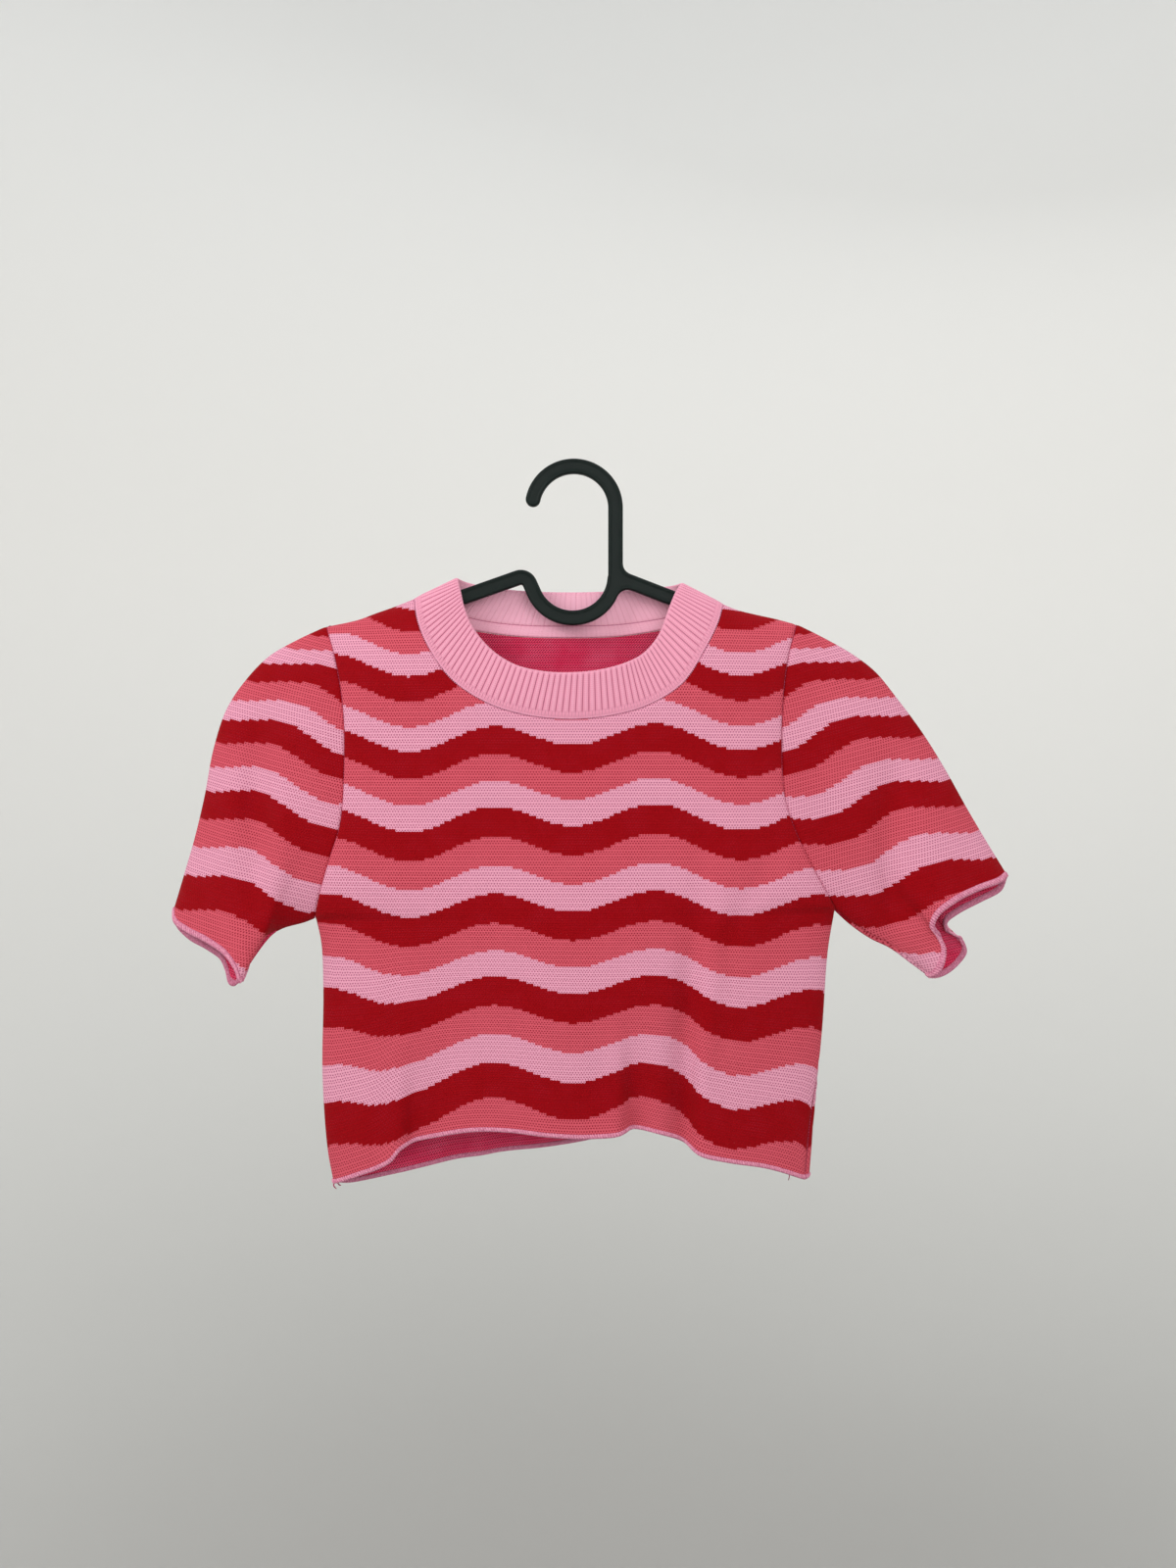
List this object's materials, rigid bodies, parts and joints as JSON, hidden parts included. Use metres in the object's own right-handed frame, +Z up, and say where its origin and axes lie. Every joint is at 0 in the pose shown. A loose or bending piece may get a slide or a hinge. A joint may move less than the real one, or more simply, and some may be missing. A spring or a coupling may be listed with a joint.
{
  "type": "crop top on a hanger",
  "caption": "Short-sleeve jacquard-knit crop top with a ribbed crew neckband and wavy stripes, hanging on a plastic hanger.",
  "frame": {"origin": "inner crown of the hanger's hook, on the hanger's middle plane", "axes": "+X to the viewer's right across the shoulders, +Y from the front of the garment to its back, +Z up"},
  "size_m": [0.6145, 0.0463, 0.5323],
  "materials": {
    "knit": "matt double-face jacquard knit",
    "rib": "matt rib knit",
    "hanger": "satin moulded plastic"
  },
  "bodies": {
    "root": {"front_panel": "knit", "back_panel": "knit", "sleeve_left": "knit", "sleeve_right": "knit", "neck_rib": "rib", "hanger": "hanger"}
  },
  "joints": []
}
